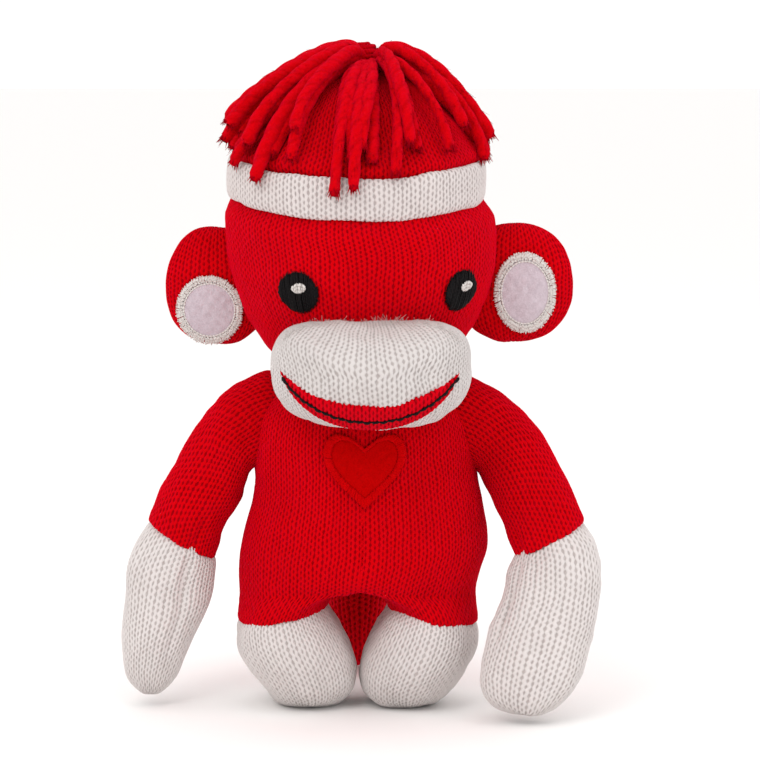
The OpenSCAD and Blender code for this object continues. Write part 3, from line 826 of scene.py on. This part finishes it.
for side, body in SIDES:
    base, uv = foot(side)
    skin = place_skin(f"foot_skin_{body}", base, uv, True, 0.42, WHITE, 53 + side, 0.35, floor=0.0)
    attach(skin, f"leg_{body}")
    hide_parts(f"leg_{body}_foot")


# ---- arms
PER_COURSE = 4       # mesh rows to one course on the arms
ARM_WALES = 28


def limb(name, node, table, side, material, seed, groove, cad):
    """A knit tube through rings of [x, y, z, tilt, half width, half depth], with x away from the middle.
    It is centred on its CAD node, which the cad rows of the table stand for. The groove is
    (angle, bend, width, depth, begin, finish): a seam line along the tube."""
    table = np.array(table, float)
    corners = []
    for x, y, z, tilt, w, d in table[cad]:
        over, up = w * math.sin(math.radians(tilt)), w * math.cos(math.radians(tilt))
        corners += [[side * x - over, y - d, z - up], [side * x + over, y + d, z + up]]
    low, high = box_mm(node)
    shift = (low + high) / 2 - (np.min(corners, axis=0) + np.max(corners, axis=0)) / 2
    rows = int(spline_rows(table, 8)[1] / COURSE * PER_COURSE)
    even, length = spline_rows(table, rows)
    cols = ARM_WALES * PER_WALE
    a = np.arange(cols) * TAU / cols
    tilt = np.radians(even[:, 3:4])
    w, d = even[:, 4:5], even[:, 5:6]
    t = np.linspace(0, 1, rows)[:, None]
    angle, bend, width, depth, begin, finish = groove
    off = np.angle(np.exp(1j * (a[None, :] - np.radians(angle + bend * t)))) * w
    fade = smooth(begin, begin + 0.12, t) * (1 - smooth(finish, finish + 0.2, t))
    dent = depth * np.exp(-(off / width) ** 2) * fade
    w, d = w - dent, d - dent
    base = np.stack([side * even[:, 0:1] - side * w * np.sin(tilt) * np.cos(a),
                     even[:, 1:2] + d * np.sin(a),
                     even[:, 2:3] - w * np.cos(tilt) * np.cos(a)], -1) + shift
    uv = loop_uv(rows, cols, ARM_WALES, length / COURSE)
    uv = uneven_uv(uv, base, seed)
    return place_skin(name, base, uv, True, 0.42, material, seed, floor=0.3)


SHOULDER = [[20.4, 0, 87.4, 0, 0.8, 0.6], [20.8, 0, 87.4, 0, 5.2, 3.4], [22, 0, 87.3, 0, 8.8, 5.8],
            [24, 0, 87, 0, 10.6, 7.4]]
SLEEVE_RIGHT = SHOULDER + [
    [28.5, 0, 85.8, 0, 12.8, 9.2], [33.9, 0, 82.6, 4, 13.4, 10.3], [38.3, 0, 78.5, 18, 12.9, 10.8],
    [43.4, 0, 69.9, 35, 12.3, 10.9], [49, -1, 60.5, 48, 11.5, 10.7], [52.8, -1.8, 51.2, 58, 11.3, 10.5],
    [53.4, -2, 49.0, 60, 11.0, 10.2], [53.2, -2, 49.6, 60, 9.4, 8.7]]
HAND_RIGHT = [
    [52.9, -2, 51.5, 58, 9.0, 8.4], [53.4, -2.1, 49.9, 60, 9.9, 9.2], [54.2, -2.3, 47.2, 66, 11.4, 10.0],
    [56.8, -3, 39.8, 80, 12.7, 10.3], [58.4, -4, 30, 88, 12.4, 10.1], [60.6, -5, 20, 90, 10.5, 9.6],
    [62.4, -6, 11, 90, 8.1, 7.7], [62.9, -6.5, 6.2, 90, 5.3, 5.0], [62.9, -6.6, 4.0, 90, 2.4, 2.2],
    [62.9, -6.6, 3.7, 90, 0.5, 0.5]]
SLEEVE_LEFT = SHOULDER + [
    [28.5, 0, 85.6, 0, 12.6, 9.2], [33.9, 0, 82.6, 4, 13.2, 10.3], [38.5, -1, 79.0, 18, 12.6, 10.8],
    [44.6, -5, 71.5, 38, 11.9, 10.9], [49.6, -10, 62, 52, 11.3, 10.7], [53.4, -13.8, 53.4, 60, 11.4, 10.5],
    [54.0, -14.5, 51.4, 62, 11.1, 10.2], [53.8, -14.3, 52.0, 62, 9.5, 8.7]]
HAND_LEFT = [
    [53.3, -13.6, 54.2, 60, 9.0, 8.4], [54.1, -14.7, 52.2, 62, 10.2, 9.3],
    [54.8, -16.2, 49.0, 68, 12.2, 10.2], [55.4, -18, 46, 75, 13.4, 10.5], [55, -22, 37, 88, 14.1, 10.5],
    [52, -26, 26.3, 90, 14.9, 10.2], [49.4, -29, 16.6, 90, 15.0, 9.6], [47.6, -31, 9.4, 90, 13.0, 8.2],
    [46.8, -32, 4.9, 90, 9.0, 6.0], [46.6, -32.2, 2.9, 90, 4.4, 3.0], [46.6, -32.2, 2.5, 90, 0.8, 0.6]]

# side, sleeve, hand, and the seam line along each as a groove
ARMS = {
    "right": (-1, SLEEVE_RIGHT, HAND_RIGHT, (-70, 8, 1.6, 1.1, 0.06, 0.6), (-66, 0, 1.4, 0.9, 0.7, 1.0)),
    "left": (1, SLEEVE_LEFT, HAND_LEFT, (-38, 22, 1.6, 1.2, 0.05, 0.5), (-36, 0, 1.4, 0.9, 0.75, 1.0)),
}
for arm, (side, sleeve_table, hand_table, hand_groove, sleeve_groove) in ARMS.items():
    sleeve = limb(f"sleeve_skin_{arm}", f"arm_{arm}_sleeve", sleeve_table, side, RED, 61 + side,
                  sleeve_groove, slice(5, 11))
    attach(sleeve, f"arm_{arm}")
    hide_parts(f"arm_{arm}_sleeve", f"arm_{arm}_wadding")
    hand = limb(f"hand_skin_{arm}", f"arm_{arm}_hand", hand_table, side, WHITE, 71 + side,
                hand_groove, slice(1, None))
    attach(hand, f"arm_{arm}")
    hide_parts(f"arm_{arm}_hand")

# ---- tail
TAIL = np.array([
    # x, y, z, radius
    [0, 21, 51.5, 3.0], [0, 25.5, 51.0, 5.4], [0, 30.5, 48.6, 6.8], [0, 34.4, 43.6, 8.2],
    [0, 36.2, 36, 9.5], [0, 37.8, 28, 9.5], [0, 39.2, 20, 8.6], [0, 42, 12.8, 7.4],
    [0, 47.2, 8.4, 6.9], [0, 52.6, 7.4, 6.2], [0, 56.0, 7.1, 4.4], [0, 57.3, 7, 2.4], [0, 57.6, 7, 0.4]])
TAIL_WALES = 17
tail_end = box_mm("tail_knit")[1][1]
TAIL[:, 0] -= 1.9
TAIL[:, 1] += tail_end - TAIL[-1, 1] - 0.2
even, length = spline_rows(TAIL, 190)
along = normalised(np.gradient(even[:, :3], axis=0))
across = np.array([1.0, 0, 0])
out = np.cross(along, across)
cols = TAIL_WALES * 8
a = np.arange(cols) * TAU / cols
base = even[:, None, :3] + even[:, 3, None, None] * (np.cos(a)[None, :, None] * across
                                                      + np.sin(a)[None, :, None] * out[:, None])
uv = uneven_uv(loop_uv(len(even), cols, TAIL_WALES, length / COURSE), base, 81)
tail = place_skin("tail_skin", base, uv, True, 0.5, RED, 81, 0.3, floor=0.3)
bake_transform(tail)
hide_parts("tail_knit", "tail_wadding")


# ---- domes: muzzle and ears
def disc_grid(rows, cols):
    """A grid of a square pressed into the unit disc, with its columns running nearly straight."""
    s, t = np.meshgrid(np.linspace(-1, 1, cols), np.linspace(1, -1, rows))
    return s * np.sqrt(1 - t ** 2 / 2), t * np.sqrt(1 - s ** 2 / 2)


def dome(centre, half_x, deep, half_z, power, reach, rows, cols):
    """A pillow's face towards -Y. reach is how far round it goes, in degrees from the middle.
    half_z and power each have a value for the upper and for the lower half."""
    x, z = disc_grid(rows, cols)
    rho = np.maximum(np.hypot(x, z), 1e-9)
    power = np.where(z > 0, power[0], power[1])
    norm = (np.abs(x / rho) ** power + np.abs(z / rho) ** power) ** (1 / power)
    turn = np.radians(reach) * rho
    px = half_x * np.sin(turn) * x / rho / norm
    pz = np.where(z > 0, half_z[0], half_z[1]) * np.sin(turn) * z / rho / norm
    return np.stack([centre[0] + px, centre[1] - deep * np.cos(turn), centre[2] + pz], -1)


def dome_surface(centre, half_x, deep, half_z, power, edge):
    """The front of the same pillow as a surface; edge keeps its slope finite at the rim."""
    def surface(x, z):
        x, z = grid_coordinates(x, z)
        upper = z > centre[2]
        p = np.where(upper, power[0], power[1])
        tall = np.where(upper, half_z[0], half_z[1])
        rho = (np.abs((x - centre[0]) / half_x) ** p + np.abs((z - centre[2]) / tall) ** p) ** (2 / p)
        return np.stack([x, centre[1] - deep * np.sqrt(np.clip(1 - rho, edge, 1)), z], -1)
    return surface


def flat_uv(base):
    """Stitch coordinates that follow a patch's own middle row and column."""
    rows, cols = base.shape[:2]
    u = distance_along(base[rows // 2]) / WALE
    v = distance_along(base[:, cols // 2]) / COURSE
    return np.stack(np.meshgrid(u, v), -1)


muzzle_low, muzzle_high = box_mm("muzzle_knit")
MUZZLE = np.array([(muzzle_low[0] + muzzle_high[0]) / 2, muzzle_low[1] + 26.5,
                   (muzzle_low[2] + muzzle_high[2]) / 2 + 0.1])
MUZZLE_R = (28.5, 26.3, (14.6, 16.4))
MUZZLE_POWER = (3.9, 2.3)
muzzle_surface = dome_surface(MUZZLE, *MUZZLE_R, MUZZLE_POWER, 0.0004)
base = dome(MUZZLE, *MUZZLE_R, MUZZLE_POWER, 132, 190, 250)
uv = uneven_uv(flat_uv(base), base, 91)
uv[..., 0] += 0.02 * (base[..., 2] - MUZZLE[2])
muzzle = place_skin("muzzle_skin", base, uv, False, 0.42, MUZZLE_KNIT, 91, 0.4, outward=MUZZLE)
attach(muzzle, "head")
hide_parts("muzzle_knit", "muzzle_wadding")

# The muzzle's back closes it where the head bends away from it.
behind = MUZZLE + [0, 0.3, 0]
base = dome(behind, MUZZLE_R[0], -MUZZLE_R[1] + 0.3, MUZZLE_R[2], MUZZLE_POWER, 56, 90, 120)
muzzle_back = place_skin("muzzle_back_skin", base, flat_uv(base), False, 0.4, MUZZLE_KNIT, 93, 0.3,
                         outward=MUZZLE)
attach(muzzle_back, "head")


def ellipse(centre, half_x, half_z):
    """The outline of an ellipse, as a function of the share s of the way round it."""
    def at(s):
        return centre[0] + half_x * math.cos(TAU * s), centre[1] + half_z * math.sin(TAU * s)
    return at


def ear_parts(side, body, centre, half, patch_centre, patch_half):
    """An ear of two knit faces, with a fleece patch, its satin border and a running stitch inside that."""
    deep, square = 6.3, (SQUARE, SQUARE)
    low, high = box_mm(f"{body}_knit")
    middle = np.array([centre[0], (low[1] + high[1]) / 2, centre[1]])
    half_z = (half[1], half[1])
    front = dome(middle, half[0], deep, half_z, square, 95, 100, 96)
    back = front * [1, -1, 1] + [0, 2 * middle[1], 0]
    for label, base in (("front", front), ("back", back)):
        uv = uneven_uv(flat_uv(base), base, 101 + side)
        piece = place_skin(f"{body}_skin_{label}", base, uv, False, 0.4, RED, 103 + side, 0.25,
                           outward=middle)
        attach(piece, body)
    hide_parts(f"{body}_knit", f"{body}_wadding")

    surface = dome_surface(middle, half[0], deep, half_z, square, 0.01)
    rim = 0.79

    def outline(share):
        return ellipse(patch_centre, share * patch_half[0], share * patch_half[1])

    patch = sheet_patch(f"{body}_fleece", surface, outline(rim + 0.03), patch_centre, 0.75, FLEECE, 0.35)
    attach(patch, body)
    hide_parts(f"{body}_patch")
    border = satin(f"{body}_satin", surface, outline(rim), outline(0.985), 440, 0.4, 0.6, 0.15,
                   SATIN, 0.2, 7)
    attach(border, body)
    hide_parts(f"{body}_border")
    s = np.linspace(0, 1, 240)
    ring = np.array([outline(rim - 0.035)(q) for q in s])
    path = lifted(surface, ring[:, 0], ring[:, 1], 0.85 + 0 * s)
    cord = Threads().tube(path, 0.2 + 0.08 * np.abs(np.sin(60 * math.pi * s)), 6)
    groove = cord.build(f"{body}_running_stitch", SATIN)
    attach(groove, body)


def sheet_patch(name, surface, outline, centre, thick, material, puff, rings=40, cols=140):
    """A cut patch laid on a surface: outline(s) is its edge; it is thick, and puffed up in its middle."""
    s = np.linspace(0, 1, cols, endpoint=False)
    edge_line = np.array([outline(q) for q in s])
    rho = np.concatenate([np.sin(np.linspace(0, math.pi / 2, rings)), [1.0, 1.0]])
    x = centre[0] + rho[:, None] * (edge_line[None, :, 0] - centre[0])
    z = centre[1] + rho[:, None] * (edge_line[None, :, 1] - centre[1])
    height = thick * np.sqrt(np.clip(1 - rho ** 24, 0, 1)) + puff * (1 - rho ** 2)
    height[-2:] = [0.15, -0.5]
    height[-3] = thick * 0.75
    height = np.repeat(height[:, None], cols, 1)
    base = lifted(surface, x, z, height)
    lumps = 0.12 * wobble(base, 3.0, 17)
    base = base + [0, -1, 0] * lumps[..., None] * (rho[:, None, None] < 0.95)
    uv = np.stack([x, z], -1)
    uv = np.concatenate([uv, uv[:, :1]], axis=1)
    n = grid_normals(base, True)
    flip = np.sum(n[5:-3] * [0, -1, 0]) < 0
    return grid_object(name, base, uv, True, material, flip)


ear_parts(-1, "ear_right", (-42.6, 123.9), (15.6, 17.5), (-44.9, 117.2), (9.7, 10.1))
ear_parts(1, "ear_left", (44.4, 124.6), (17.5, 17.7), (47.4, 122.2), (9.1, 11.9))

# ---- loose fibres
def fuzz(name, roots, directions, long, material, seed, radius):
    """Loose hairs that stand out of a fabric. roots and directions are points and unit vectors."""
    local = np.random.default_rng(seed)
    hairs = Threads()
    s = np.linspace(0, 1, 6)[:, None]
    for root, out in zip(roots, directions):
        bend = local.normal(size=3) * 0.6
        size = long * local.uniform(0.4, 1.2)
        hairs.tube(root + size * (out * s + bend * s ** 2), np.linspace(radius, radius * 0.4, 6), 3)
    return hairs.build(name, material)


count = 260
x = rng.uniform(-25, 25, count)
z = MUZZLE[2] + MUZZLE_R[2][0] * (1 - np.abs(x / 30) ** 6) * rng.uniform(0.93, 1.0, count)
roots = lifted(muzzle_surface, MUZZLE[0] + x, z, 0 * x)
out = np.stack([rng.normal(0, 0.4, count), rng.normal(-0.8, 0.2, count), rng.uniform(0.5, 1.0, count)], -1)
fringe = fuzz("muzzle_fringe", roots, out, 1.35, SATIN, 15, 0.08)
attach(fringe, "head")

# ---- lip and smile
# Each is an arc: the x of its middle, its lowest z, and its radius.
LIP_TOP = (2.2, 94.3, 40.3)
LIP_BOTTOM = (2.2, 86.6, 27.3)
SMILE = (2.2, 90.2, 30.8)


def arc_z(arc, x):
    """Height of an arc at x."""
    return arc[1] + arc[2] - np.sqrt(np.clip(arc[2] ** 2 - (x - arc[0]) ** 2, 0, None))


def corner_x(first, second):
    """How far from the middle the second arc crosses the first."""
    x = np.linspace(0, 30, 3001)
    gap = arc_z(second, first[0] + x) - arc_z(first, first[0] + x)
    return x[np.argmax(gap > 0)] if np.any(gap > 0) else 26.0


reach = corner_x(LIP_TOP, LIP_BOTTOM)
rows, cols = 46, 300
x = LIP_TOP[0] + reach * np.sin(np.linspace(-math.pi / 2, math.pi / 2, cols))[None, :]
w = np.linspace(0, 1, rows)[:, None]
jag = 0.16 * np.sign(np.sin(x * TAU / 1.35)) * np.abs(np.sin(x * TAU / 1.35)) ** 0.5
top, bottom = arc_z(LIP_TOP, x) + jag, arc_z(LIP_BOTTOM, x) - 0.5 * jag
z = top + (bottom - top) * w
x = np.repeat(x, rows, 0)
height = 0.15 + 0.75 * np.sqrt(np.clip(1 - (2 * w - 1) ** 10, 0, 1)) * np.clip((top - bottom) / 2.5, 0, 1)
height[0], height[-1] = -0.7, -0.7
base = lifted(muzzle_surface, x, z, np.broadcast_to(height, x.shape))
uv = np.stack([x / 2.1, (z - LIP_BOTTOM[1]) / COURSE], -1)
n = grid_normals(base, False)
flip = np.sum(n * [0, -1, 0]) < 0
n = n * (-1 if flip else 1)
knitted = stitch_height(uv[..., 0], uv[..., 1])
inside = (w > 0.03) & (w < 0.97)
base = base + n * ((knitted - 0.7) * 0.26 * inside)[..., None]
lip = grid_object("lip_knit_patch", base, uv, False, LIP, flip)
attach(lip, "head")
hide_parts("lip_patch")

smile = Threads()
x = LIP_TOP[0] + np.linspace(-reach + 1.2, reach - 1.2, 900)
z = arc_z(SMILE, x)
step = distance_along(np.column_stack([x, z]))
stitch = 2.3
phase = np.abs(np.sin(math.pi * step / stitch))
path = lifted(muzzle_surface, x, z + 0.1 * np.sin(TAU * step / (2 * stitch)), 0.75 + 0.45 * phase ** 0.7)
smile.tube(path, 0.28 + 0.2 * phase ** 0.6, 10, lobes=2, turns=step[-1] / 1.6, depth=0.25)
smile = smile.build("smile_backstitch", BLACK)
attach(smile, "head")
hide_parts("smile_stitch")

# ---- eyes
GLINT_W, GLINT_H = 2.0, 1.5


def half_ellipse(centre, half_x, half_z, sign, reach, slope=0.0):
    """The upper (sign 1) or lower (sign -1) half of an ellipse, end to end, sheared by slope."""
    def at(s):
        x = half_x * math.sin((s - 0.5) * math.pi * reach)
        z = slope * x + sign * half_z * math.sqrt(max(1 - (x / half_x) ** 2, 0))
        return centre[0] + x, centre[1] + z
    return at


for _, name in SIDES:
    low, high = box_mm(f"eye_{name}")
    middle = (low + high) / 2
    eye_z = middle[2]
    at = math.atan2(middle[0], -middle[1])
    eye_r = (high[2] - low[2]) / 2

    def face(x, z, at=at, eye_z=eye_z):
        """The head round an eye, with x measured along its skin."""
        x, z = grid_coordinates(x, z)
        return round_points(head_radius(z), z, at + x / head_radius(eye_z))

    centre = (0, eye_z)
    edge = ellipse(centre, eye_r * 0.93, eye_r * 0.93)
    pad = sheet_patch(f"eye_{name}_pad", face, edge, centre, 0.45, BLACK, 0.35)
    upper, lower = (half_ellipse(centre, eye_r, eye_r, sign, 0.985) for sign in (1, -1))
    eye = satin(f"eye_{name}_satin", face, upper, lower, 66, 0.75, 0.35, 0.2, BLACK, 0.2, 9)
    glint_low, glint_high = box_mm(f"eye_glint_{name}")
    glint_mid = (glint_low + glint_high) / 2
    centre = ((math.atan2(glint_mid[0], -glint_mid[1]) - at) * head_radius(eye_z), glint_mid[2])
    upper, lower = (half_ellipse(centre, GLINT_W, GLINT_H, sign, 0.95, 0.12) for sign in (1, -1))
    glint = satin(f"eye_glint_{name}_satin", face, upper, lower, 20, 0.4, 1.2, 0.16, SATIN, 0.08, 4)
    for piece, slot in ((pad, "black_thread"), (eye, "black_thread"), (glint, "white_thread")):
        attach(piece, "head")
    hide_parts(f"eye_{name}")
    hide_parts(f"eye_glint_{name}")

# ---- heart
heart_low, heart_high = box_mm("heart_border")
HEART_X = (heart_low[0] + heart_high[0]) / 2
HEART_Z = (heart_low[2] + heart_high[2]) / 2
HEART_W = heart_high[0] - heart_low[0]
HEART_H = heart_high[2] - heart_low[2]


def heart_outline(share):
    """A heart with round lobes and a soft point; share scales its width towards the middle."""
    a = np.linspace(0, TAU, 2001)
    x = np.sign(np.sin(a)) * np.abs(np.sin(a)) ** 1.9
    y = 13 * np.cos(a) - 5 * np.cos(2 * a) - 1.6 * np.cos(3 * a) - 0.8 * np.cos(4 * a)
    y = 2 * (y - y.min()) / (y.max() - y.min()) - 1
    inset = (1 - share) * HEART_W / 2

    def at(s):
        return (HEART_X + np.interp(TAU * s, a, x) * (HEART_W / 2 - inset),
                HEART_Z + 0.3 * inset + np.interp(TAU * s, a, y) * (HEART_H / 2 - inset))
    return at


felt = sheet_patch("heart_felt_patch", torso_surface, heart_outline(0.83), (HEART_X, HEART_Z + 1), 0.95,
                   FELT, 0.25, cols=260)
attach(felt, "torso")
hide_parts("heart_felt")
border = satin("heart_satin_border", torso_surface, heart_outline(0.80), heart_outline(1.0), 330,
               0.75, 0.45, 0.25, BORDER, 0.08, 13)
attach(border, "torso")
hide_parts("heart_border")

# ---- seams
def whipstitch(name, centre, radius, swing, stitches, points, sideways):
    """Thread that winds over a round seam; sideways is true where the seam faces along X, not up."""
    s = np.linspace(0, 1, points)
    r = radius + swing * np.cos(TAU * stitches * s)
    first, second, along = r * np.cos(TAU * s), r * np.sin(TAU * s), 0.5 * np.sin(TAU * stitches * s)
    order = [along, first, second] if sideways else [first, second, along]
    return Threads().tube(np.stack(order, -1) + centre, 0.35, 6).build(name, RED_THREAD)


low, high = box_mm("neck_seam")
seam = whipstitch("neck_whipstitch", [0, 0, (low[2] + high[2]) / 2], high[0] - 2, 1.2, 60, 900, False)
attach(seam, "neck")
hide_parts("neck_seam")
for _, arm in SIDES:
    low, high = box_mm(f"arm_{arm}_seam")
    radius = (high[2] - low[2]) / 2 - 1.5
    seam = whipstitch(f"arm_{arm}_whipstitch", (low + high) / 2, radius, 1.0, 44, 700, True)
    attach(seam, f"shoulder_{arm}")
    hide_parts(f"arm_{arm}_seam")

# ---- floor, light and camera
def floor_material():
    n = Nodes("backdrop")
    n.shader.inputs["Base Color"].default_value = (0.945, 0.935, 0.925, 1)
    n.shader.inputs["Roughness"].default_value = 0.9
    n.shader.inputs["Specular IOR Level"].default_value = 0.1
    return n.material


bpy.ops.mesh.primitive_plane_add(size=240, location=(0, 0, 0))
floor = bpy.context.object
floor.name = "floor"
floor.data.materials.append(floor_material())

bpy.context.scene.view_settings.view_transform = "Standard"
world = bpy.data.worlds.new("studio")
bpy.context.scene.world = world
world.use_nodes = True
world.node_tree.nodes["Background"].inputs[0].default_value = (1.0, 0.993, 0.99, 1)
world.node_tree.nodes["Background"].inputs[1].default_value = 1.06


def area(name, place, size, power, color=(1, 1, 1)):
    """A round area light aimed at the middle of the toy."""
    data = bpy.data.lights.new(name, "AREA")
    data.shape = "DISK"
    data.size = size
    data.energy = power
    data.color = color
    lamp = bpy.data.objects.new(name, data)
    bpy.context.scene.collection.objects.link(lamp)
    lamp.location = place
    aim = Vector((0, 0, 0.09)) - lamp.location
    lamp.rotation_euler = aim.to_track_quat("-Z", "Y").to_euler()


area("key", (-0.5, -0.9, 0.9), 0.7, 3.6, (1.0, 0.98, 0.96))
area("fill", (0.9, -0.7, 0.5), 0.9, 1.6, (0.97, 0.98, 1.0))
area("top", (0.0, 0.1, 1.2), 0.9, 1.6)

camera = bpy.data.cameras.new("camera")
camera.lens = 144.5
camera.sensor_width = 36
camera.clip_start = 0.05
camera.clip_end = 20
view = bpy.data.objects.new("camera", camera)
bpy.context.scene.collection.objects.link(view)
target = Vector((0.005, 0, 0.0960))
tilt = math.radians(6)
view.location = target + Vector((0, -math.cos(tilt), math.sin(tilt))) * 0.9
view.rotation_euler = (target - view.location).to_track_quat("-Z", "Y").to_euler()
bpy.context.scene.camera = view
